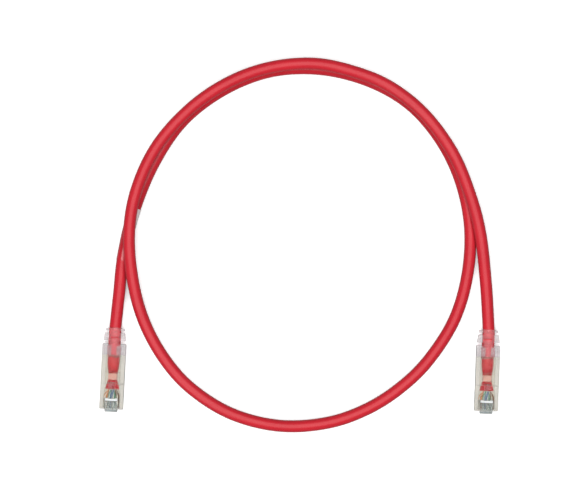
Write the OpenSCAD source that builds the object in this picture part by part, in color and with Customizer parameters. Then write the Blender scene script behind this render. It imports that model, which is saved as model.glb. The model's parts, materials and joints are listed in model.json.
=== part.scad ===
// Ethernet patch cable: one round jacketed cord in a loose loop and a half, with a clear
// eight-way plug, a spring latch and a clear ribbed boot on each end.
// Millimetres. Z = 0 is the surface it lies on, +Y runs from the plugs towards the loop.
// Each plug is drawn nose first: its own Y = 0 is the front face, Z = 0 the contact side.

/* [Cable] */
// Outer diameter of the jacket
cable_d = 6; // [5:0.1:6]
// Thickness of the jacket wall
jacket_wall = 0.6; // [0.4:0.05:0.7]
// Outer diameter of one insulated wire
wire_d = 0.9; // [0.8:0.02:0.94]
// Diameter of the copper in one wire
core_d = 0.48; // [0.4:0.02:0.55]

/* [Plug body] */
// Width of the plug
body_w = 11.7; // [11.6:0.02:11.8]
// Length of the plug from its front face to the boot
body_l = 27; // [26:0.5:30]
// Height of the front part, which enters a socket
front_h = 6.6; // [6.4:0.05:6.7]
// Height of the rear part, which is gripped
rear_h = 8.2; // [7.8:0.1:8.6]
// Height of the cable's middle line inside the plug
axis_z = 4; // [3.9:0.05:4.1]

/* [Contacts] */
// Distance from one contact to the next
pitch = 1.02; // [1:0.01:1.04]
// Thickness of a contact blade
blade_t = 0.35; // [0.3:0.01:0.38]

/* [Latch] */
// Width of the latch's locking part
latch_w = 6.2; // [5.9:0.05:6.3]
// Width of the latch's finger
finger_w = 3.3; // [3:0.05:3.4]
// Length of the latch from its root to its tip
latch_l = 14.6; // [13.5:0.1:15]
// Angle between the latch at rest and the plug
latch_rise = 13; // [11:0.5:15]

/* [Boot] */
// Length of the boot's shell behind the plug
shell_l = 5.5; // [4.5:0.1:5.5]
// Outer diameter of the boot's sleeve
sleeve_d = 7.1; // [6.8:0.1:7.6]

/* [Layout] */
// Distance of the left plug's front face from the middle, sideways
plug_a_x = -94; // [-96:0.5:-92]
// Distance of the right plug's front face from the middle, sideways
plug_b_x = 93; // [91:0.5:95]
// Angle by which the left plug leans from the Y axis
plug_a_turn = 3; // [2:0.5:4]
// Angle by which the right plug leans from the Y axis
plug_b_turn = 2; // [1:0.5:3]

/* [Hidden] */
sides = ["a", "b"];
ways = 8;

$fn = 48;
cut = 0.1;          // how far a cutter runs past the face it opens
fit = 0.05;         // play between fixed pieces
cable_r = cable_d / 2;
wire_r = wire_d / 2;
spigot_r = cable_r + 0.3;

// Lengths along the plug, from its front face
step_y = 12.4;      // where the gripped rear part starts
step_run = 0.4;     // length of the slope up to it
shoulder_y = 6.4;   // length of the latch's locking part, from its root
bar_from = 14.6;    // the crimp bar's window
bar_to = 17.8;
bar_w = 4.2;
mouth_y = 10;       // where the cable's jacket ends inside the plug
pocket_from = 0.7;  // the load bar's pocket
pocket_to = 5.5;
wire_from = 0.9;    // where the wires are cut off behind the front wall
wire_z = 3.3;
wire_back = 11.5;   // and where they end inside the jacket
slot_l = 4.5;       // length of a contact slot
grip_from = 0.8;    // its narrow part, which grips the blade
grip_to = 4.2;
grip_play = 0.04;
pocket_low = 2.6;
pocket_high = 4.45;
cavity_low = 1;
cavity_high = 5.4;
cavity_w = 8.4;
throat_w = 7.6;
throat_y = 18.4;    // where the cavity meets the cable's channel
channel_low = 0.6;
channel_high = 7.4;
pinch_z = 3;        // the jacket's middle and half height under the crimp bar
pinch_h = 1.9;
filler_from = 21.5; // where the cross filler is cut off
nose_l = 1.5;
nose_low = 3;

// Lengths along the boot, from the same front face
shell_end = body_l + shell_l;
wing_from = shell_end + 1.5;
wing_to = wing_from + 4;
collar_from = wing_to + 1;
collar_to = collar_from + 1.2;
boot_end = collar_to + 0.3;
spigot_l = 1.2;
slit_y = wing_from + 1.5;   // slit across the sleeve, above and below
slit_l = 0.5;
bridge_w = 5;               // width of the sleeve left between its side notches

hinge_y = -0.8;
hinge_z = front_h + 0.55;
knuckle_r = 0.45;

tube_sides = 12;
plug_a_y = -19;
plug_b_y = -20;

// The free cord's route, from boot to boot: x, y and height of its middle line
exit_a = [plug_a_x + boot_end * sin(plug_a_turn), plug_a_y + boot_end * cos(plug_a_turn), axis_z];
exit_b = [plug_b_x + boot_end * sin(plug_b_turn), plug_b_y + boot_end * cos(plug_b_turn), axis_z];
route = concat([exit_a], [
    [-90, 39, 3.4], [-88, 57, 3.3], [-82.5, 80, 3.3], [-72.5, 104, 3], [-58, 125, 3],
    [-37.5, 140.5, 3], [-14, 149.5, 3], [11, 150.5, 3], [35, 144.5, 3], [55, 133, 3],
    [70, 116, 3], [80, 96, 3], [85, 73, 3], [84, 49, 3], [77.5, 26, 3], [65, 6, 3],
    [51, -8, 3], [34, -19, 3], [14, -26, 3],
    [-10, -27.5, 3], [-34, -21.5, 3], [-54, -9, 3], [-67.5, 6, 3.2], [-77.5, 24.5, 4.4],
    [-83, 45, 7.6], [-84.8, 68, 10], [-81.2, 90, 9.7], [-71, 112, 9.2], [-54.5, 130.5, 9.2],
    [-35.5, 143.5, 9.2],
    [-15, 151, 9.2], [7, 153, 9.2], [27, 149, 9.2], [45, 141.5, 9.2], [62, 128, 9.2],
    [76, 109, 9.2], [84.5, 89, 8.8], [90, 69, 7.2], [93, 44, 3.8]
], [exit_b]);
route_last = len(route) - 1;
label_first = 2;    // the label lies between these two points of the route
label_last = 3;

// A point beside number i of the route, which also runs on straight past both ends
function stop_at(i) =
    i < 0 ? 2 * route[0] - route[1] :
    i > route_last ? 2 * route[route_last] - route[route_last - 1] : route[i];

// The middle of the smooth curve between points i and i + 1
function halfway(i) = (9 * (stop_at(i) + stop_at(i + 1)) - stop_at(i - 1) - stop_at(i + 2)) / 16;

// The smooth route, with two points for each span
line = concat([for (i = [0 : route_last - 1]) each [route[i], halfway(i)]], [route[route_last]]);

// The direction of the line at its point i, which at either end is that plug's own
function along(i) =
    i == 0 ? [sin(plug_a_turn), cos(plug_a_turn), 0] :
    i == len(line) - 1 ? [-sin(plug_b_turn), -cos(plug_b_turn), 0] :
    let (step = line[i + 1] - line[i - 1]) step / norm(step);

// A ring around point i of the line, square to it
function ring(i, radius) =
    let (
        ahead = along(i),
        side = [ahead.y, -ahead.x, 0] / norm([ahead.x, ahead.y]),
        up = cross(side, ahead)
    )
    [for (k = [0 : tube_sides - 1])
        let (turn = 360 * (k + 0.5) / tube_sides)
        line[i] + radius * (cos(turn) * side + sin(turn) * up)];

// Quads that join ring after ring, each with n corners, from point number start on
function skin(rings, n, start, inward) =
    [for (i = [0 : rings - 2], k = [0 : n - 1])
        let (
            a = start + i * n + k,
            b = start + i * n + (k + 1) % n
        )
        inward ? [a, b, b + n, a + n] : [a, a + n, b + n, b]];

// A solid through a list of rings of n corners
module loft(rings, n) {
    count = len(rings);
    polyhedron(
        points = [for (r = rings) each r],
        faces = concat(
            skin(count, n, 0, false),
            [[for (k = [0 : n - 1]) k]],
            [[for (k = [n - 1 : -1 : 0]) (count - 1) * n + k]]
        ),
        convexity = 10
    );
}

// A wall between outer rings and inner rings, open at both ends
module pipe(outer, inner, n) {
    count = len(outer);
    inside = count * n;
    last = (count - 1) * n;
    polyhedron(
        points = concat([for (r = outer) each r], [for (r = inner) each r]),
        faces = concat(
            skin(count, n, 0, false),
            skin(count, n, inside, true),
            [for (k = [0 : n - 1]) let (m = (k + 1) % n) [k, m, inside + m, inside + k]],
            [for (k = [0 : n - 1]) let (m = (k + 1) % n)
                [last + m, last + k, inside + last + k, inside + last + m]]
        ),
        convexity = 10
    );
}

// An upright oval ring at length y of the plug
function oval(y, half_w, half_h, z) =
    [for (k = [0 : tube_sides - 1])
        let (turn = 360 * (k + 0.5) / tube_sides)
        [half_w * cos(turn), y, z + half_h * sin(turn)]];

// Puts a plug's own frame in its place on the surface
module place(side) {
    a = side == "a";
    translate([a ? plug_a_x : plug_b_x, a ? plug_a_y : plug_b_y, 0])
        rotate([0, 0, a ? -plug_a_turn : -plug_b_turn])
            children();
}

// A block centred on the plug's middle plane
module block(width, y_from, y_to, z_from, z_to) {
    translate([-width / 2, y_from, z_from])
        cube([width, y_to - y_from, z_to - z_from]);
}

// A straight round bar along the plug
module rod(radius, y_from, y_to, z) {
    translate([0, y_from, z])
        rotate([-90, 0, 0])
            cylinder(r = radius, h = y_to - y_from);
}

// A side outline of (y, z) points, given a width across the plug
module side_cut(width, outline) {
    translate([-width / 2, 0, 0])
        rotate([90, 0, 90])
            linear_extrude(width)
                polygon(outline);
}

function way_x(k) = (k - (ways + 1) / 2) * pitch;

// ---- the cord ----

module cable_jacket() {
    color("crimson")
        loft([for (i = [0 : len(line) - 1]) ring(i, cable_r)], tube_sides);
}

// Blank wrap-around marker sleeve on the cord
module cable_label() {
    label_from = 2 * label_first;
    label_to = 2 * label_last;
    inner_r = cable_r + 0.03;
    outer_r = inner_r + 0.22;
    color("whitesmoke")
        pipe(
            [for (i = [label_from : label_to]) ring(i, outer_r)],
            [for (i = [label_from : label_to]) ring(i, inner_r)],
            tube_sides
        );
}

// ---- one end of the cable ----

// Clear moulded body with its cavities, contact slots and nose
module plug_housing(side) {
    slot_w = 0.52;
    slot_top = 2.3;
    nose_round = 1.2;
    color("gainsboro", 0.6)
        place(side)
            difference() {
                union() {
                    block(body_w, 0, body_l, 0, front_h);
                    side_cut(body_w, [[step_y, front_h - cut], [body_l, front_h - cut], [body_l, rear_h],
                        [step_y + step_run, rear_h]]);
                    block(latch_w, nose_round - nose_l, cut, nose_low, front_h);
                    block(latch_w, -nose_l, nose_round - nose_l + cut, nose_low + nose_round,
                        front_h - nose_round);
                    for (z = [nose_low + nose_round, front_h - nose_round])
                        translate([-latch_w / 2, nose_round - nose_l, z])
                            rotate([0, 90, 0])
                                cylinder(r = nose_round, h = latch_w);
                }
                // recess under the latch's tip, and the crimp bar's window in its floor
                block(bar_w + 2 * fit, step_y - cut, bar_to, front_h, rear_h + cut);
                block(bar_w + 2 * fit, bar_from, bar_to, cavity_high - cut, front_h + cut);
                // channel for the cable and the boot's spigot
                block(throat_w, throat_y - cut, body_l + cut, channel_low, channel_high);
                // the wires' cavity narrows from the load bar to the crimp
                translate([0, 0, cavity_low])
                    linear_extrude(cavity_high - cavity_low)
                        polygon([
                            [-cavity_w / 2, pocket_to - cut], [cavity_w / 2, pocket_to - cut],
                            [cavity_w / 2, mouth_y - 2], [throat_w / 2, mouth_y],
                            [throat_w / 2, throat_y], [-throat_w / 2, throat_y],
                            [-throat_w / 2, mouth_y], [-cavity_w / 2, mouth_y - 2]
                        ]);
                block(cavity_w, pocket_from, pocket_to, pocket_low, pocket_high);
                // contact slots, open below and in front, with a narrow part that grips the blade
                for (k = [1 : ways])
                    translate([way_x(k), 0, 0]) {
                        block(slot_w, -cut, slot_l, -cut, slot_top);
                        block(blade_t + grip_play, grip_from, grip_to, slot_top - cut, pocket_low + cut);
                    }
            }
}

// Spring latch: a wedge with locking shoulders, then a narrow finger
module latch(side) {
    low = -knuckle_r;
    wedge_top = 1.5;
    slope_l = 0.9;
    slope_h = 0.45;
    finger_top = 0.7;
    tip = latch_l;
    tip_round = 0.4;
    color("gainsboro", 0.8)
        place(side)
            translate([0, hinge_y, hinge_z])
                rotate([latch_rise, 0, 0])
                    union() {
                        translate([-latch_w / 2, 0, 0])
                            rotate([0, 90, 0])
                                cylinder(r = knuckle_r, h = latch_w);
                        side_cut(latch_w, [[0, low], [shoulder_y, low], [shoulder_y, wedge_top - slope_h],
                            [shoulder_y - slope_l, wedge_top], [0, knuckle_r]]);
                        side_cut(finger_w, [[shoulder_y - cut, low], [tip - tip_round, low],
                            [tip, low + tip_round], [tip, finger_top], [shoulder_y - cut, finger_top]]);
                    }
}

// The jacket's ovals: place along the plug, half width, half height and height of the middle.
// It is pinched under the crimp bar and flared at its mouth.
jacket_ovals = [
    [boot_end, cable_r, cable_r, axis_z], [31, cable_r, cable_r, axis_z],
    [22.5, cable_r, cable_r, axis_z], [20.5, 2.85, 2.9, 3.95], [19.2, 2.65, 2.6, 3.7],
    [18.2, 2.4, 2.1, 3.2], [17.4, 2.25, pinch_h, pinch_z], [bar_from, 2.25, pinch_h, pinch_z],
    [13.4, 2.7, 2, 3.1], [11.8, 3.2, 2.05, 3.2], [mouth_y, 3.5, 1.95, 3.25]
];

// End of the jacket inside the boot and the plug
module jacket_end(side) {
    color("crimson")
        place(side)
            pipe(
                [for (o = jacket_ovals) oval(o[0], o[1], o[2], o[3])],
                [for (o = jacket_ovals) oval(o[0], o[1] - jacket_wall, o[2] - jacket_wall, o[3])],
                tube_sides
            );
}

// Plastic spline that keeps the four pairs apart, cut short inside the jacket
module cross_filler(side) {
    span = 2 * (cable_r - jacket_wall - 0.4);
    fin = 0.4;
    color("white")
        place(side)
            union() {
                block(span, filler_from, boot_end, axis_z - fin / 2, axis_z + fin / 2);
                block(fin, filler_from, boot_end, axis_z - span / 2, axis_z + span / 2);
            }
}

// Clear bar that holds the eight wires in line over the contacts
module load_bar(side) {
    wire_play = 0.03;
    color("lightgray", 0.7)
        place(side)
            difference() {
                block(cavity_w - 2 * fit, pocket_from + fit, pocket_to - cut,
                    pocket_low + fit, pocket_high - fit);
                for (k = [1 : ways])
                    translate([way_x(k), 0, 0]) {
                        rod(wire_r + wire_play, pocket_from, pocket_to, wire_z);
                        block(blade_t + grip_play, grip_from, grip_to, pocket_low, wire_z);
                    }
            }
}

// Bar pressed down through the plug's window to grip the jacket
module crimp_bar(side) {
    rim = 0.8;
    top = front_h - 0.3;
    color("gainsboro", 0.8)
        place(side)
            difference() {
                block(bar_w, bar_from + fit, bar_to - fit, pinch_z + pinch_h + fit, top);
                block(bar_w - 1, bar_from + rim, bar_to - rim, top - 0.5, top + cut);
            }
}

// Outline of one contact blade, with its three teeth
blade = [
    [0.9, 0.85], [1.15, 0.6], [3.85, 0.6], [4.1, 0.85], [4.1, 2.9], [3.8, 3.5], [3.5, 2.9],
    [2.8, 2.9], [2.5, 3.5], [2.2, 2.9], [1.5, 2.9], [1.2, 3.5], [0.9, 2.9]
];

module contact(side, k) {
    color("gold")
        place(side)
            translate([way_x(k), 0, 0])
                side_cut(blade_t, blade);
}

// Insulation colours in the usual order of a straight-through cable
wire_colors = ["papayawhip", "darkorange", "honeydew", "royalblue", "aliceblue", "seagreen",
    "linen", "saddlebrown"];
wire_sides = 8;
mouth_spread = 1.2;    // distance between pairs at the jacket's mouth
squeeze = 0.85;        // how far they close up behind it
stack_drop = 0.05;
fan_l = 4;             // length over which the stacked pairs turn to lie flat
fan_steps = 5;
wire_stops = concat([wire_back], [for (i = [0 : fan_steps]) mouth_y - fan_l * i / fan_steps],
    [pocket_to, wire_from]);

// Middle of wire k at length y: stacked pairs at the mouth turn to lie flat side by side
function wire_at(k, y) =
    let (
        pair = floor((k - 1) / 2) - 1.5,
        hand = k % 2 == 1 ? -1 : 1,
        t = max(0, min(1, (mouth_y - y) / fan_l)),
        turn = 90 * (1 - t * t * (3 - 2 * t)),
        spread = mouth_spread + (2 * pitch - mouth_spread) * (1 - turn / 90),
        shrink = y > mouth_y ? squeeze : 1
    )
    [
        shrink * pair * spread + hand * pitch / 2 * cos(turn),
        y,
        wire_z - hand * pitch / 2 * sin(turn) - stack_drop * turn / 90
    ];

module wire(side, k) {
    color(wire_colors[k - 1])
        place(side)
            difference() {
                loft([for (y = wire_stops) let (c = wire_at(k, y))
                    [for (j = [0 : wire_sides - 1])
                        let (turn = 360 * (j + 0.5) / wire_sides)
                        [c.x + wire_r * cos(turn), y, c.z + wire_r * sin(turn)]]], wire_sides);
                translate([way_x(k), 0, 0]) {
                    rod(core_d / 2, wire_from - cut, pocket_to - 0.5, wire_z);
                    side_cut(blade_t, blade);
                }
            }
}

// The bare ends of the eight conductors, pierced by the contacts
module copper_cores(side) {
    color("peru")
        place(side)
            for (k = [1 : ways])
                translate([way_x(k), 0, 0])
                    difference() {
                        rod(core_d / 2, wire_from, pocket_to - 0.5, wire_z);
                        side_cut(blade_t, blade);
                    }
}

// Soft clear boot: a hollow shell against the plug, then a slit sleeve with a winged collar and
// an end collar, which bends with the cable
module boot(side) {
    hole_r = cable_r + fit;
    wall = 0.9;
    shell_low = 0.1;
    wing_w = [11.2, 10];
    wing_low = 1.6;
    wing_high = 6.4;
    collar_w = 9.4;
    color("mistyrose", 0.6)
        place(side)
            difference() {
                union() {
                    difference() {
                        block(body_w, body_l, shell_end, shell_low, rear_h);
                        block(body_w - 2 * wall, body_l - cut, shell_end - wall, shell_low + wall,
                            rear_h - wall);
                    }
                    translate([0, 0, wing_low])
                        linear_extrude(wing_high - wing_low)
                            polygon([[-wing_w[0] / 2, wing_from], [wing_w[0] / 2, wing_from],
                                [wing_w[1] / 2, wing_to], [-wing_w[1] / 2, wing_to]]);
                    block(collar_w, collar_from, collar_to, wing_low, wing_high);
                    rod(sleeve_d / 2, body_l, boot_end, axis_z);
                    rod(spigot_r, body_l - spigot_l + fit, body_l + cut, axis_z);
                }
                rod(hole_r, body_l - spigot_l, boot_end + cut, axis_z);
                // notches in the sleeve's sides, and slits above and below
                for (x = [-1, 1], gap = [[shell_end, wing_from], [wing_to, collar_from]])
                    translate([x * (bridge_w + body_w) / 2, 0, 0])
                        block(body_w, gap[0], gap[1], 0, rear_h);
                for (z = [[0, wing_low], [wing_high, rear_h]])
                    block(bridge_w, slit_y, slit_y + slit_l, z[0], z[1]);
            }
}

cable_jacket();
cable_label();
for (s = sides) {
    plug_housing(s);
    latch(s);
    boot(s);
    load_bar(s);
    crimp_bar(s);
    jacket_end(s);
    cross_filler(s);
    copper_cores(s);
    for (k = [1 : ways]) {
        contact(s, k);
        wire(s, k);
    }
}
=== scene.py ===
# %% [markdown]
# # Ethernet patch cable
# A red patch cord lies flat in a loose loop and a half. Each end has a clear eight-way plug with a
# spring latch and a clear, soft boot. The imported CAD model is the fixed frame: it gives every size
# and place, and this lesson gives each piece its true surface.

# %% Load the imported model
import json
import math

import bmesh
import bpy
from mathutils import Matrix, Vector


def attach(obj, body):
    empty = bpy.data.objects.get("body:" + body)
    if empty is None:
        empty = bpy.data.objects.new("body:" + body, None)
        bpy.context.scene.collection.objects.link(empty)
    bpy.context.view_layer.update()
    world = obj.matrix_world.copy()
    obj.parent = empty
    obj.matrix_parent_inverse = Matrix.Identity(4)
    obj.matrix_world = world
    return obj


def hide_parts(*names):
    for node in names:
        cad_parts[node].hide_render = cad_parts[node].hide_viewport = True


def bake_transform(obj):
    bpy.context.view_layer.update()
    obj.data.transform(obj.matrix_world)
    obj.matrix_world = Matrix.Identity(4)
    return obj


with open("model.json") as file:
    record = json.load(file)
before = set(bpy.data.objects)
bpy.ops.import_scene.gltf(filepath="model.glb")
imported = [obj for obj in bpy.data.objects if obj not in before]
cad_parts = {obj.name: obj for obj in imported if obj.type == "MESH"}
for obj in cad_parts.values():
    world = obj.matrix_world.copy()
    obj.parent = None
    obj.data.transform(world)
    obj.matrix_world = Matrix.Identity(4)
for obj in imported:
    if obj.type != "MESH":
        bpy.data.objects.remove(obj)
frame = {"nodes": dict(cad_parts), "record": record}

MM = 0.001
SIDES = ("a", "b")
WAYS = 8
UP = Vector((0, 0, 1))
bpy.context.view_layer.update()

# %% [markdown]
# ## Where each plug is
# Each plug is easiest to think of in its own frame: millimetres, its front face at Y = 0, the cable
# leaving along +Y and the contacts at Z = 0. The record's insertion mount gives the middle of the
# front face and the way in, so a matrix made from it puts such a piece in its place.

# %% A matrix for each plug
def plug_place(side):
    """Takes a point of the plug's own frame, in millimetres, to the scene, in metres."""
    mounts = frame["record"]["mounts"]
    mount = next(m for m in mounts if m["name"] == f"plug_{side}_insertion")
    back = -Vector(mount["axis"])
    turn = Matrix((back.cross(UP), back, UP)).transposed().to_4x4()
    front = Vector((mount["pos_m"][0], mount["pos_m"][1], 0))
    return Matrix.Translation(front) @ turn @ Matrix.Scale(MM, 4)


PLACE = {side: plug_place(side) for side in SIDES}
for side in SIDES:
    print("plug", side, "front face at", PLACE[side].translation)

# %% [markdown]
# ## The camera
# The cable is seen from straight above through a long lens, so that the plugs and the loop show
# without perspective. The frame is 292.5 mm wide where the cable lies.

# %% Camera
VIEW_CENTRE = Vector((-3.5, 61.0, 0)) * MM
VIEW_WIDTH = 292.5 * MM
CAMERA_HEIGHT = 2.0

camera = bpy.data.objects.new("camera", bpy.data.cameras.new("camera"))
camera.data.lens = camera.data.sensor_width * CAMERA_HEIGHT / VIEW_WIDTH
camera.location = VIEW_CENTRE + UP * CAMERA_HEIGHT
bpy.context.scene.collection.objects.link(camera)
bpy.context.scene.camera = camera
print("lens:", round(camera.data.lens), "mm")

# %% [markdown]
# ## The studio
# A wide softbox overhead lights the cable, and a smaller one beside it draws the long highlight on
# the jacket. A round cord only looks round when its sides see less light than its top. So the pale
# world is seen directly and through the clear plastic, but it adds no light of its own. The floor
# is seen as a white sheet, but it throws back only part of its light at the cable, as a grey sheet
# does. Clear plastic on it therefore looks pale grey, and not like nothing at all, and a small glow
# that is only seen directly and through clear plastic keeps both of them from going dull.

# %% Colour and node helpers
def linear(hex_colour):
    """An sRGB hex colour as linear RGBA."""
    parts = [int(hex_colour[i:i + 2], 16) / 255 for i in (1, 3, 5)]
    return [p / 12.92 if p <= 0.04045 else ((p + 0.055) / 1.055) ** 2.4 for p in parts] + [1.0]


def add(tree, kind, settings=None, inputs=None):
    """Adds a shader node. An input that is a socket is linked, and any other is a value."""
    node = tree.nodes.new("ShaderNode" + kind)
    for name, value in (settings or {}).items():
        setattr(node, name, value)
    for name, value in (inputs or {}).items():
        if isinstance(value, bpy.types.NodeSocket):
            tree.links.new(value, node.inputs[name])
        else:
            node.inputs[name].default_value = value
    return node


def ramp(tree, factor, low, high):
    """A colour ramp node from one sRGB colour to another, driven by the factor socket."""
    node = add(tree, "ValToRGB", None, {"Fac": factor})
    node.color_ramp.elements[0].color = linear(low)
    node.color_ramp.elements[1].color = linear(high)
    return node


def noise(tree, place, size, detail=2):
    """A noise socket whose marks are about size across, in mm."""
    inputs = {"Vector": place, "Scale": 1 / (size * MM), "Detail": detail}
    return add(tree, "TexNoise", None, inputs).outputs["Fac"]


def remap(tree, factor, settings):
    """The factor socket through a Map Range node with these settings."""
    return add(tree, "MapRange", None, {"Value": factor, **settings}).outputs["Result"]


def uneven(tree, shader, height, strength, depth):
    """Drives the shader's normal with a bump of that depth, in mm."""
    bump = add(tree, "Bump", None, {"Height": height, "Strength": strength, "Distance": depth * MM})
    tree.links.new(bump.outputs["Normal"], shader.inputs["Normal"])


def finish(name, colour, **sockets):
    """A new material with plain values on its Principled shader's own sockets."""
    material = bpy.data.materials.new(name)
    material.use_nodes = True
    shader = material.node_tree.nodes["Principled BSDF"]
    shader.inputs["Base Color"].default_value = linear(colour)
    for socket, value in sockets.items():
        shader.inputs[socket.replace("_", " ")].default_value = value
    return material, material.node_tree, shader


# %% Floor, world and softboxes
WHITE = "#F8F8F8"
GREY = "#969696"
SHEET_SIZE = 1.6
GLOW_SEEN = 0.3         # strength of the sheet's glow where it is seen directly
GLOW_THROUGH_PLASTIC = 0.46
FLOOR_GAP = 0.25 * MM   # so that light gets between the sheet and the plugs' clear undersides


def softbox(name, place, size, radiance):
    """A square area light at place that shines at the loop with the same radiance all over."""
    target = Vector((0, 0.06, 0))
    light = bpy.data.lights.new(name, "AREA")
    light.shape = "SQUARE"
    light.size = size
    light.energy = radiance * math.pi * size * size
    lamp = bpy.data.objects.new(name, light)
    lamp.location = place
    lamp.rotation_euler = (Vector(place) - target).to_track_quat("Z", "Y").to_euler()
    bpy.context.scene.collection.objects.link(lamp)


bpy.context.scene.view_settings.view_transform = "Standard"
world = bpy.data.worlds.new("studio")
world.use_nodes = True
world.node_tree.nodes["Background"].inputs["Color"].default_value = linear("#F4F4F4")
world.cycles_visibility.diffuse = False
world.cycles_visibility.glossy = False
bpy.context.scene.world = world

softbox("overhead_softbox", (0, 0.06, 2.6), 3.4, 3.3)
softbox("side_softbox", (-1.3, -1.5, 1.7), 1.0, 4.6)


def white_paper():
    material, tree, shader = finish("matt_white_paper", WHITE, Roughness=0.9,
                                    Emission_Color=linear("#FFFFFF"))
    paths = add(tree, "LightPath")
    seen = paths.outputs["Is Camera Ray"]
    sheet = ramp(tree, seen, GREY, WHITE)
    tree.links.new(sheet.outputs["Color"], shader.inputs["Base Color"])
    through = remap(tree, paths.outputs["Is Transmission Ray"], {"To Max": GLOW_THROUGH_PLASTIC})
    glow = remap(tree, seen, {"To Min": through, "To Max": GLOW_SEEN})
    tree.links.new(glow, shader.inputs["Emission Strength"])
    place = add(tree, "TexCoord").outputs["Object"]
    uneven(tree, shader, noise(tree, place, 0.8), 1.0, 0.01)
    return material


sheet_form = bmesh.new()
bmesh.ops.create_grid(sheet_form, x_segments=1, y_segments=1, size=SHEET_SIZE,
                      matrix=Matrix.Translation((0, 0, -FLOOR_GAP)))
sheet_mesh = bpy.data.meshes.new("floor")
sheet_form.to_mesh(sheet_mesh)
sheet_form.free()
sheet_mesh.materials.append(white_paper())
floor = bpy.data.objects.new("floor", sheet_mesh)
bpy.context.scene.collection.objects.link(floor)

# %% [markdown]
# ## Making a piece
# Four helpers make every piece. `piece` turns a bmesh into an object that rides on its body.
# `sweep` draws a tube by extruding a circle from ring to ring, and writes a UV map that runs around
# and along it, so that stripes and extrusion lines follow the tube. `rounded_copy` takes a CAD
# node's exact shape and rounds its long sharp edges, as a mould does, and `rounded_piece` makes a
# piece of that.

# %% Piece and sweep
SHARP_ANGLE = math.radians(38)      # faces that meet at more than this keep a sharp edge


def piece(name, form, material, body, slot, *nodes):
    """The bmesh as a finished object that rides on body and stands for the CAD nodes."""
    mesh = bpy.data.meshes.new(name)
    form.to_mesh(mesh)
    form.free()
    mesh.shade_smooth()
    mesh.set_sharp_from_angle(angle=SHARP_ANGLE)
    mesh.materials.append(material)
    made = bpy.data.objects.new(name, mesh)
    bpy.context.scene.collection.objects.link(made)
    if body:
        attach(made, body)
    if nodes:
        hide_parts(*nodes)
    return made


def sweep(rings, sides, wall=0.0):
    """A tube through rings, which are matrices that a unit circle is put through. It is closed at
    both ends, or open with a wall of that thickness."""
    form = bmesh.new()
    bmesh.ops.create_circle(form, segments=sides, radius=1, matrix=rings[0])
    edges = form.edges[:]
    for before, after in zip(rings, rings[1:]):
        made = bmesh.ops.extrude_edge_only(form, edges=edges)["geom"]
        verts = {g for g in made if isinstance(g, bmesh.types.BMVert)}
        edges = [g for g in made if isinstance(g, bmesh.types.BMEdge) and verts.issuperset(g.verts)]
        bmesh.ops.transform(form, matrix=after @ before.inverted(), verts=list(verts))
    form.verts.index_update()
    tell = [r.inverted() for r in rings]
    lengths = [0.0]
    for before, after in zip(rings, rings[1:]):
        lengths.append(lengths[-1] + (after.translation - before.translation).length)
    around = form.loops.layers.uv.new("around_along")
    for face in form.faces:
        spots = []
        for loop in face.loops:
            number = loop.vert.index // sides
            flat = tell[number] @ loop.vert.co
            spots.append([math.atan2(flat.y, flat.x) / math.tau % 1, lengths[number]])
        if max(s[0] for s in spots) - min(s[0] for s in spots) > 0.5:
            spots = [[u + 1 if u < 0.5 else u, v] for u, v in spots]
        for loop, spot in zip(face.loops, spots):
            loop[around].uv = spot
    bmesh.ops.recalc_face_normals(form, faces=form.faces)
    if wall:
        bmesh.ops.solidify(form, geom=form.faces[:], thickness=wall)
    else:
        bmesh.ops.holes_fill(form, edges=[e for e in form.edges if e.is_boundary], sides=0)
    return form


# %% Rounded copies of CAD nodes
def round_edges(form, edges, radius):
    bmesh.ops.bevel(form, geom=edges, offset=radius * MM, offset_type="OFFSET", affect="EDGES",
                    segments=2, profile=0.5, material=-1, clamp_overlap=True)


def rounded_copy(node, radius, shortest):
    """A CAD node's mesh with the sharp outer edges that are longer than shortest rounded. Both
    sizes are in mm."""
    form = bmesh.new()
    form.from_mesh(frame["nodes"][node].data)
    bmesh.ops.remove_doubles(form, verts=form.verts, dist=0.002 * MM)
    bmesh.ops.dissolve_limit(form, angle_limit=math.radians(1), verts=form.verts, edges=form.edges)
    sharp = [e for e in form.edges if e.is_manifold and e.is_convex
             and e.calc_face_angle() > math.radians(35) and e.calc_length() > shortest * MM]
    round_edges(form, sharp, radius)
    return form


def rounded_piece(node, rounding, material, body, slot):
    """A finished rounded copy. Its large flat faces keep their own direction, because clear
    plastic with bent normals would act as a lens."""
    made = piece(node, rounded_copy(node, *rounding), material, body, slot, node)
    made.modifiers.new("flat_faces_stay_flat", "WEIGHTED_NORMAL").keep_sharp = True
    return made


# %% [markdown]
# ## The cord's route
# The route repeats the CAD design's own points: out of the left boot, up and over the loop, round
# under the plugs, and back over itself to the right boot. A smooth curve runs through them, and the
# tube starts and ends a little way inside the boots, where the jacket goes on.

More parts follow.
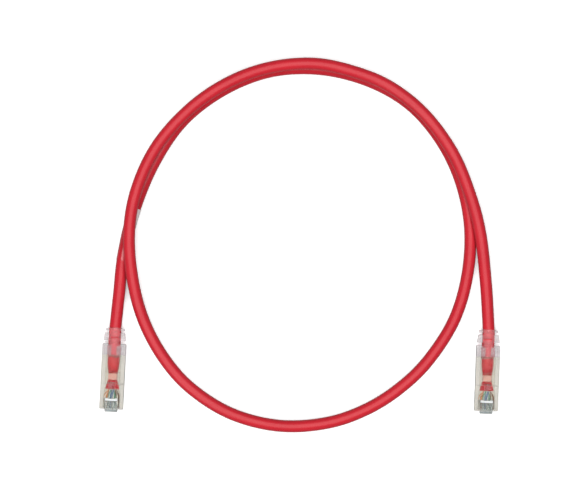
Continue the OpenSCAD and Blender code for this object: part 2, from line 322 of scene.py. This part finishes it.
# %% Route
CABLE_R = 3.0 * MM
AXIS_Z = 4.0            # height of the cable's middle in the plug, in mm
BOOT_END = 40.5         # where the cord leaves the boot, in mm from the plug's front face
CORD_IN_BOOT = (36.0, 38.0)     # the first rings of the cord's own tube, inside the boot
STOP_STEPS = 10         # points of the curve from each stop of the route to the next
ROUTE = [
    (-90, 39, 3.4), (-88, 57, 3.3), (-82.5, 80, 3.3), (-72.5, 104, 3), (-58, 125, 3),
    (-37.5, 140.5, 3), (-14, 149.5, 3), (11, 150.5, 3), (35, 144.5, 3), (55, 133, 3),
    (70, 116, 3), (80, 96, 3), (85, 73, 3), (84, 49, 3), (77.5, 26, 3), (65, 6, 3),
    (51, -8, 3), (34, -19, 3), (14, -26, 3), (-10, -27.5, 3), (-34, -21.5, 3), (-54, -9, 3),
    # here it climbs onto its own lower turn
    (-67.5, 6, 3.2), (-77.5, 24.5, 4.4), (-83, 45, 7.6), (-84.8, 68, 10), (-81.2, 90, 9.7),
    (-71, 112, 9.2), (-54.5, 130.5, 9.2), (-35.5, 143.5, 9.2), (-15, 151, 9.2), (7, 153, 9.2),
    (27, 149, 9.2), (45, 141.5, 9.2), (62, 128, 9.2), (76, 109, 9.2), (84.5, 89, 8.8),
    (90, 69, 7.2), (93, 44, 3.8),
]
EXIT = {side: PLACE[side] @ Vector((0, BOOT_END, AXIS_Z)) for side in SIDES}
STOPS = [EXIT["a"]] + [Vector(p) * MM for p in ROUTE] + [EXIT["b"]]


def curve_point(i, t):
    """The smooth curve between stops i and i + 1."""
    last = len(STOPS) - 1
    a = STOPS[i - 1] if i else 2 * STOPS[0] - STOPS[1]
    b, c = STOPS[i], STOPS[i + 1]
    d = STOPS[i + 2] if i + 2 <= last else 2 * STOPS[last] - STOPS[last - 1]
    return 0.5 * (2 * b + (c - a) * t + (2 * a - 5 * b + 4 * c - d) * t ** 2
                  + (3 * b - a - 3 * c + d) * t ** 3)


def inside_boot(side):
    return [PLACE[side] @ Vector((0, y, AXIS_Z)) for y in CORD_IN_BOOT]


def rings_along(line, radius):
    """A ring square to the line at each of its points."""
    rings = []
    for i, point in enumerate(line):
        ahead = line[min(i + 1, len(line) - 1)] - line[max(i - 1, 0)]
        ahead.normalize()
        side = Vector((ahead.y, -ahead.x, 0)).normalized()
        up = side.cross(ahead)
        ring = Matrix((side * radius, up * radius, ahead)).transposed().to_4x4()
        ring.translation = point
        rings.append(ring)
    return rings


FREE_LINE = [curve_point(i, k / STOP_STEPS) for i in range(len(STOPS) - 1)
             for k in range(STOP_STEPS)] + [curve_point(len(STOPS) - 2, 1)]
CORD_LINE = inside_boot("a") + FREE_LINE + inside_boot("b")[::-1]

# %% [markdown]
# ## Red PVC jacket
# The jacket is flexible PVC, coloured right through and drawn over the pairs by an extruder. It
# is glossy, with very fine lines along it. The four twisted pairs under it raise a faint slow
# twist, which is not drawn here. Fine scuffs from handling make some patches duller than others.

# %% Jacket material
def jacket_pvc(name, **sockets):
    material, tree, shader = finish(name, "#C32632", Roughness=0.3, IOR=1.5,
                                    Specular_IOR_Level=0.25, **sockets)
    place = add(tree, "TexCoord").outputs["Object"]
    # the pigment varies a little over 15 mm, and scuffs 0.4 mm across dull the gloss
    shade = ramp(tree, noise(tree, place, 15, 3), "#BC2330", "#CA2A35")
    tree.links.new(shade.outputs["Color"], shader.inputs["Base Color"])
    worn = remap(tree, noise(tree, place, 0.4, 5),
                 {"From Min": 0.35, "From Max": 0.75, "To Min": 0.25, "To Max": 0.42})
    tree.links.new(worn, shader.inputs["Roughness"])
    # extrusion lines: 60 around the jacket, each a few centimetres long
    uv = add(tree, "UVMap", {"uv_map": "around_along"}).outputs["UV"]
    drawn = add(tree, "Mapping", None, {"Vector": uv, "Scale": (60, 1 / (30 * MM), 1)})
    lines = add(tree, "TexNoise", {"noise_dimensions": "2D"},
                {"Vector": drawn.outputs["Vector"], "Scale": 1.0, "Detail": 2})
    uneven(tree, shader, lines.outputs["Fac"], 0.35, 0.03)
    return material


JACKET = jacket_pvc("extruded_red_pvc")
print("jacket:", JACKET.name)

# %% [markdown]
# ## Clear plastics
# The plug's body and latch are moulded polycarbonate: hard, glossy and very slightly warm in
# colour, so that the thick walls look pale grey-beige. The boot is soft clear PVC, which is
# milkier. Its index is set below that of real PVC, so that its inner faces don't show as dark
# lines. The crimp bar's salmon colour is painted light: the red of the jacket under it, as it
# would show through the clear bar. Each is a Principled shader that lets light through, with a
# faint unevenness from the mould in its bump.

# %% Clear materials
POLYCARBONATE_IOR = 1.58


def clear_plastic(name, colour, haze, roughness, ior=POLYCARBONATE_IOR):
    """A clear moulded plastic. haze is the share of light that its surface scatters."""
    material, tree, shader = finish(name, colour, IOR=ior, Transmission_Weight=1 - haze,
                                    Specular_Tint=linear("#6C6C6C"))
    place = add(tree, "TexCoord").outputs["Object"]
    # handling marks 0.5 mm across dull the gloss here and there
    worn = remap(tree, noise(tree, place, 0.5, 4),
                 {"From Min": 0.4, "From Max": 0.8, "To Min": roughness,
                  "To Max": roughness + 0.06})
    tree.links.new(worn, shader.inputs["Roughness"])
    # the mould's surface is uneven over 2 mm or so
    uneven(tree, shader, noise(tree, place, 2, 1), 0.1, 0.05)
    return material


CLEAR_BODY = clear_plastic("moulded_clear_polycarbonate", "#F4F1E9", 0.0, 0.03)
CLEAR_LATCH = clear_plastic("moulded_clear_polycarbonate_latch", "#F1F6F8", 0.005, 0.03)
# the wedge's haze and paler colour are painted light, standing in for light through the clear
# plastic
WEDGE_PAINTED_PALE = clear_plastic("moulded_clear_polycarbonate_wedge_painted_pale", "#E8F0F0", 0.1, 0.05)
CLEAR_BAR = clear_plastic("moulded_clear_polycarbonate_bar", "#E4E4E4", 0.03, 0.06)
# the bar's salmon is painted light: the jacket's red as it would show through clear plastic
BAR_PAINTED_JACKET_RED = clear_plastic("polycarbonate_bar_painted_jacket_red", "#FFDDCB", 0.36, 0.15)
SOFT_CLEAR = clear_plastic("moulded_soft_clear_pvc", "#F5F1F2", 0.11, 0.08, 1.35)
# the nose's haze and pale colour are painted light, standing in for light through the clear plastic
NOSE_PAINTED_PALE = clear_plastic("polycarbonate_nose_painted_pale", "#EEF3F2", 0.35, 0.2)
# the shoulders' near-white haze is a painted highlight
SHOULDER_PAINTED_HIGHLIGHT = clear_plastic("polycarbonate_shoulder_painted_highlight", "#F7FAFB", 0.75, 0.3)
print("clear plastics: eight, from", CLEAR_BODY.name, "to", SHOULDER_PAINTED_HIGHLIGHT.name)

# %% [markdown]
# ## Plastics and metals inside the plug
# The wires are insulated in polyethylene, which is waxy and half matt. In each pair one wire is
# the plain colour and its partner is white with a stripe of that colour, which winds slowly round
# it. The stripe reads the tube's own UV map. The contacts are stamped bronze with hard gold on
# them, and the copper is drawn and stranded.

# %% Wire, contact and copper materials
WIRE_COLOURS = ("#D38A52", "#4E9477", "#4A78AE", "#75543C")    # orange, green, blue, brown
WIRE_PAIRS = (0, 0, 1, 2, 2, 1, 3, 3)                           # each way's pair, in plug order
WIRE_WHITE = "#F1F2EC"
STRIPE_TURN = 16 * MM           # length over which the stripe winds once round the wire
STRIPE_FROM, STRIPE_TO = 0.3, 0.55


def wire_insulation(name, colour, striped):
    material, tree, shader = finish(name, colour, Roughness=0.42, IOR=1.51)
    if striped:
        uv = add(tree, "UVMap", {"uv_map": "around_along"}).outputs["UV"]
        spot = add(tree, "SeparateXYZ", None, {"Vector": uv})
        wound = add(tree, "Math", {"operation": "MULTIPLY_ADD"},
                    {0: spot.outputs["Y"], 1: 1 / STRIPE_TURN, 2: spot.outputs["X"]})
        turn = add(tree, "Math", {"operation": "FRACT"}, {0: wound.outputs[0]})
        stripe = ramp(tree, turn.outputs[0], WIRE_WHITE, colour)
        stripe.color_ramp.interpolation = "CONSTANT"
        stripe.color_ramp.elements[1].position = STRIPE_FROM
        stripe.color_ramp.elements.new(STRIPE_TO).color = linear(WIRE_WHITE)
        tree.links.new(stripe.outputs["Color"], shader.inputs["Base Color"])
    place = add(tree, "TexCoord").outputs["Object"]
    uneven(tree, shader, noise(tree, place, 0.3), 0.2, 0.02)
    return material


def metal(name, colour, roughness, grain):
    """A metal whose gloss varies over marks of size grain, in mm, drawn out along the plug."""
    material, tree, shader = finish(name, colour, Metallic=1.0)
    place = add(tree, "TexCoord").outputs["Object"]
    drawn = add(tree, "Mapping", None, {"Vector": place, "Scale": (1, 0.15, 1)})
    marks = noise(tree, drawn.outputs["Vector"], grain, 3)
    worn = remap(tree, marks, {"To Min": roughness - 0.08, "To Max": roughness + 0.12})
    tree.links.new(worn, shader.inputs["Roughness"])
    uneven(tree, shader, marks, 0.2, 0.01)
    return material


WIRES = [wire_insulation(f"polyethylene_way_{k + 1}", WIRE_COLOURS[pair], k % 2 == 0)
         for k, pair in enumerate(WIRE_PAIRS)]
GOLD = metal("gold_plated_bronze", "#DDB45E", 0.24, 0.12)
COPPER = metal("drawn_bare_copper", "#C47A52", 0.3, 0.08)
FILLER = wire_insulation("white_polyethylene_spline", "#EDEDE6", False)
print("wire plastics:", [m.name for m in WIRES])

# %% [markdown]
# ## The cord
# The free cord is one tube swept along the route.

# %% Cord
CORD_SIDES = 32
cord = piece("cord", sweep(rings_along(CORD_LINE, CABLE_R), CORD_SIDES), JACKET, "root", "jacket",
             "cable_jacket")
print("cord:", len(cord.data.polygons), "faces")

# %% [markdown]
# ## The marker label
# The label is a self-laminating marker: a blank white print zone, and a clear glossy tail that
# wraps on round the cord beside it. The tail's adhesive leaves no air on the jacket, so the eye
# sees the jacket's own red under a clear coat, and that is how it is made here.

# %% Label
LABEL_FROM, PRINT_FROM, LABEL_TO = 1.9, 2.66, 3.05      # in stops along the route
LABEL_STEPS, LABEL_SIDES = 20, 40


def label_sleeve(first, last, lift, wall):
    """A sleeve round the cord between two places, counted in stops. Its outside lies lift above
    the jacket. Both lengths are in mm."""
    places = [first + (last - first) * k / LABEL_STEPS for k in range(LABEL_STEPS + 1)]
    line = [curve_point(int(p), p - int(p)) for p in places]
    return sweep(rings_along(line, CABLE_R + lift * MM), LABEL_SIDES, wall * MM)


def print_vinyl():
    material, tree, shader = finish("white_print_vinyl", "#EADCDB", Roughness=0.3, Coat_Weight=0.6,
                                    Coat_Roughness=0.08)
    # the same wrinkles bump the vinyl and make its tone darker where they dip: painted shade in the
    # creases
    wrinkles_and_crease_shade = noise(tree, add(tree, "TexCoord").outputs["Object"], 2.5)
    painted_crease_shade = ramp(tree, wrinkles_and_crease_shade, "#E0CFCF", "#F2E6E5")
    tree.links.new(painted_crease_shade.outputs["Color"], shader.inputs["Base Color"])
    uneven(tree, shader, wrinkles_and_crease_shade, 0.4, 0.08)
    return material


CLEAR_TAIL = jacket_pvc("clear_film_on_red_pvc", Coat_Weight=1.0, Coat_Roughness=0.05,
                        Coat_IOR=1.5)
print_zone = piece("label_print_zone", label_sleeve(PRINT_FROM, LABEL_TO, 0.2, 0.16),
                   print_vinyl(), "root", "label", "cable_label")
film = piece("label_clear_tail", label_sleeve(LABEL_FROM, PRINT_FROM, 0.14, 0.1),
             CLEAR_TAIL, "root", "label", "cable_label")

# %% [markdown]
# ## The jacket inside the boots and plugs
# The jacket goes on through the boot, which is moulded round it without a gap. The crimp bar
# pinches it flat, and in front of the bar it flares to its cut mouth, where the four pairs press
# ridges into it. Behind the bar the pinch leaves folds across it. Ovals along the plug give the
# shape, with an ease from each to the next.

# %% Jacket ends
# lengths are in mm, and a place along the plug is counted from its front face
GRIP_END = 40.3         # where the boot's grip on the jacket ends
# place along the plug, half width, half height and height of the middle, in mm
JACKET_OVALS = [
    (GRIP_END, 3.1, 3.1, 4), (27, 3.1, 3.1, 4), (25.9, 3, 3, 4), (22.5, 3, 3, 4),
    (20.5, 2.85, 2.9, 3.95), (19.2, 2.65, 2.6, 3.7), (18.2, 2.4, 2.1, 3.2), (17.4, 2.25, 1.9, 3),
    (14.6, 2.25, 1.9, 3), (13.4, 2.7, 2, 3.1), (11.8, 3.2, 2.05, 3.2), (10, 3.5, 1.95, 3.25),
]
JACKET_WALL = 0.6
JACKET_STEPS, JACKET_SIDES = 104, 48
MOUTH_Y = 10.0
CRIMP_FRONT, CRIMP_BACK = 14.5, 17.8
PAIR_STEP = 1.02        # distance between the ridges that the pairs press into the mouth
RIDGE = 0.18            # how much the pairs' ridges raise the mouth, as a share of its half height
FOLD = 0.1              # the same for the folds behind the crimp bar, which are 1 mm apart
FOLDS_FROM = 22.5


def ease(t):
    """0 to 1 with a soft start and end."""
    t = max(0.0, min(1.0, t))
    return t * t * (3 - 2 * t)


def oval_at(y):
    """Half width, half height and middle of the jacket at length y."""
    for (y0, *from_), (y1, *to) in zip(JACKET_OVALS, JACKET_OVALS[1:]):
        if y1 <= y <= y0:
            t = ease((y0 - y) / (y0 - y1))
            return [a + (b - a) * t for a, b in zip(from_, to)]


def jacket_end(side):
    rings = []
    for k in range(JACKET_STEPS + 1):
        y = GRIP_END + (MOUTH_Y - GRIP_END) * k / JACKET_STEPS
        half_w, half_h, z = oval_at(y)
        ring = Matrix(((half_w, 0, 0, 0), (0, 0, -1, y), (0, half_h, 0, z), (0, 0, 0, 1)))
        rings.append(PLACE[side] @ ring)
    form = sweep(rings, JACKET_SIDES, JACKET_WALL * MM)
    back = PLACE[side].inverted()
    for vert in form.verts:
        x, y, z = back @ vert.co
        middle = oval_at(max(MOUTH_Y, min(GRIP_END, y)))[2]
        above = (z - middle) / 2
        near_mouth = ease((CRIMP_FRONT - y) / 3.5)
        near_crimp = ease((FOLDS_FROM - y) / 2) * ease((y - CRIMP_BACK) / 0.6)
        ridge = RIDGE * near_mouth * math.cos(math.tau * (x / PAIR_STEP - 0.5))
        fold = FOLD * near_crimp * math.cos(math.tau * y)
        vert.co = PLACE[side] @ Vector((x * (1 + fold / 3), y, z + above * (ridge + fold)))
    return piece(f"jacket_end_{side}", form, JACKET, "root", "jacket", f"jacket_end_{side}")


for side in SIDES:
    end = jacket_end(side)
    print(end.name, len(end.data.polygons), "faces")

# %% [markdown]
# ## The wires
# At the jacket's mouth the eight wires stand in four stacked pairs. On the way to the load bar they
# turn to lie flat, side by side, over the contacts.

# %% Wires
# in mm, as for the jacket
WIRE_R = 0.45
WIRE_Z = 3.3            # height of the flat row over the contacts
WIRE_STEPS, WIRE_SIDES = 36, 14
WIRE_BACK, WIRE_FRONT = 11.5, 0.9
PITCH = 1.02            # distance between the wires over the contacts
FAN_L = 4.0             # length over which the pairs turn
MOUTH_SPREAD = 1.2      # distance between pairs at the mouth
MOUTH_DROP = 0.05       # how much lower the pairs lie in the mouth than over the contacts
CLOSE_UP = 0.15         # share by which they close up inside the mouth, over CLOSE_UP_L
CLOSE_UP_L = 0.8


def wire_spot(k, y):
    """Middle of wire k, counted from 0, at length y of the plug."""
    hand = -1 if k % 2 == 0 else 1
    flat = ease((MOUTH_Y - y) / FAN_L)
    turn = math.radians(90 * (1 - flat))
    spread = MOUTH_SPREAD + (2 * PITCH - MOUTH_SPREAD) * flat
    close_up = 1 - CLOSE_UP * ease((y - MOUTH_Y) / CLOSE_UP_L)
    return Vector((close_up * (k // 2 - 1.5) * spread + hand * PITCH / 2 * math.cos(turn), y,
                   WIRE_Z - hand * PITCH / 2 * math.sin(turn) - MOUTH_DROP * (1 - flat)))


def wire(side, k):
    length = WIRE_FRONT - WIRE_BACK
    ys = [WIRE_BACK + length * i / WIRE_STEPS for i in range(WIRE_STEPS + 1)]
    line = [PLACE[side] @ wire_spot(k, y) for y in ys]
    node = f"wire_{side}{k + 1}"
    piece(node, sweep(rings_along(line, WIRE_R * MM), WIRE_SIDES), WIRES[k], "root",
          f"wire_{k + 1}", node)


for side in SIDES:
    for k in range(WAYS):
        wire(side, k)
print("wires:", 2 * WAYS)

# %% [markdown]
# ## The moulded pieces
# The plug's body, its latch, its crimp bar, the contacts and the boot have the right shape in CAD,
# but their edges are sharp, and no moulded or stamped edge is. Each is a merged copy of its CAD
# node with its outer edges rounded. The load bar, the copper and the filler keep their CAD meshes.
# The latch rides on its own body, because it bends. Its locking shoulders are painted near white,
# a painted highlight that shows as a white line across the clear plug. Its wedge and the body's
# nose are painted paler and hazier: painted light, standing in for light through the clear plastic.

# %% Moulded and stamped pieces
# how round each kind's edges are, and the shortest edge that is rounded, in mm
HOUSING_EDGES = (0.15, 3)
BOOT_EDGES = (0.15, 1)
LATCH_EDGES = (0.12, 0.3)
CRIMP_BAR_EDGES = (0.12, 0)
CONTACT_EDGES = (0.04, 0)
LATCH_RISE = math.radians(13)
LATCH_BACK = Matrix.Rotation(LATCH_RISE, 3, "X") @ Vector((0, 1, 0))   # where its shoulders face
WEDGE_TO = 7.0          # the wedge ends this far behind the plug's front face, in mm
NOSE_TO = 0.1           # and the front face of the body, painted pale as painted light, ends here


def refinish(made, side, material, chosen):
    """Puts another material on the faces that are chosen by their direction and by the length
    along the plug, in mm, at which they end."""
    made.data.materials.append(material)
    number = len(made.data.materials) - 1
    front = PLACE[side].inverted()
    turn = front.to_3x3().normalized()
    for face in made.data.polygons:
        end = max((front @ made.data.vertices[v].co).y for v in face.vertices)
        if chosen(turn @ face.normal, end):
            face.material_index = number


for side in SIDES:
    housing = rounded_piece(f"plug_housing_{side}", HOUSING_EDGES, CLEAR_BODY, "root",
                            "clear_plug")
    # the body's front face is painted pale: painted light
    refinish(housing, side, NOSE_PAINTED_PALE, lambda facing, end: end < NOSE_TO)
    boot = rounded_piece(f"boot_{side}", BOOT_EDGES, SOFT_CLEAR, "root", "clear_boot")
    # smoothing between its faces would show as a dark band through the clear plastic
    boot.data.shade_flat()
    latch = rounded_piece(f"latch_{side}", LATCH_EDGES, CLEAR_LATCH, f"latch_{side}",
                          "clear_latch")
    # the wedge is painted paler and hazier: painted light
    refinish(latch, side, WEDGE_PAINTED_PALE, lambda facing, end: end < WEDGE_TO)
    # the wedge's faces that look back along the latch get the painted highlight
    refinish(latch, side, SHOULDER_PAINTED_HIGHLIGHT,
             lambda facing, end: end < WEDGE_TO and facing.dot(LATCH_BACK) > 0.3)
    # the latch's front gets the same painted pale colour
    refinish(latch, side, NOSE_PAINTED_PALE, lambda facing, end: end < 0)
    # the crimp bar is painted with the jacket's red: painted light
    rounded_piece(f"crimp_bar_{side}", CRIMP_BAR_EDGES, BAR_PAINTED_JACKET_RED, "root", "crimp_bar")
    for k in range(1, WAYS + 1):
        rounded_piece(f"contact_{side}{k}", CONTACT_EDGES, GOLD, "root", "contact")
    for node, material in ((f"load_bar_{side}", CLEAR_BAR), (f"copper_cores_{side}", COPPER),
                           (f"cross_filler_{side}", FILLER)):
        frame["nodes"][node].material_slots[0].material = material
    print("plug", side, [len(p.data.polygons) for p in (housing, boot, latch)], "faces")

# %% [markdown]
# ## The latch's root
# The real latch is one moulding with the body, and a short web at its root bends. The web here is
# a small block with rounded edges that reaches from the body at its foot to the latch at its top.

# %% Latch roots
# in mm, in the plug's own frame
ROOT_Y = -0.85
ROOT_WIDTH, ROOT_THICK, ROOT_EDGE = 6.0, 0.75, 0.1
ROOT_FOOT, ROOT_TOP = 6.45, 7.1


def latch_root(side):
    form = bmesh.new()
    middle = Matrix.Translation((0, ROOT_Y, (ROOT_FOOT + ROOT_TOP) / 2))
    size = Matrix.Diagonal((ROOT_WIDTH, ROOT_THICK, ROOT_TOP - ROOT_FOOT, 1))
    bmesh.ops.create_cube(form, size=1, matrix=PLACE[side] @ (middle @ size))
    round_edges(form, form.edges[:], ROOT_EDGE)
    root = piece(f"latch_root_{side}", form, CLEAR_LATCH, None, "clear_latch")
    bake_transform(root)
    print(root.name, len(root.data.polygons), "faces")


for side in SIDES:
    latch_root(side)
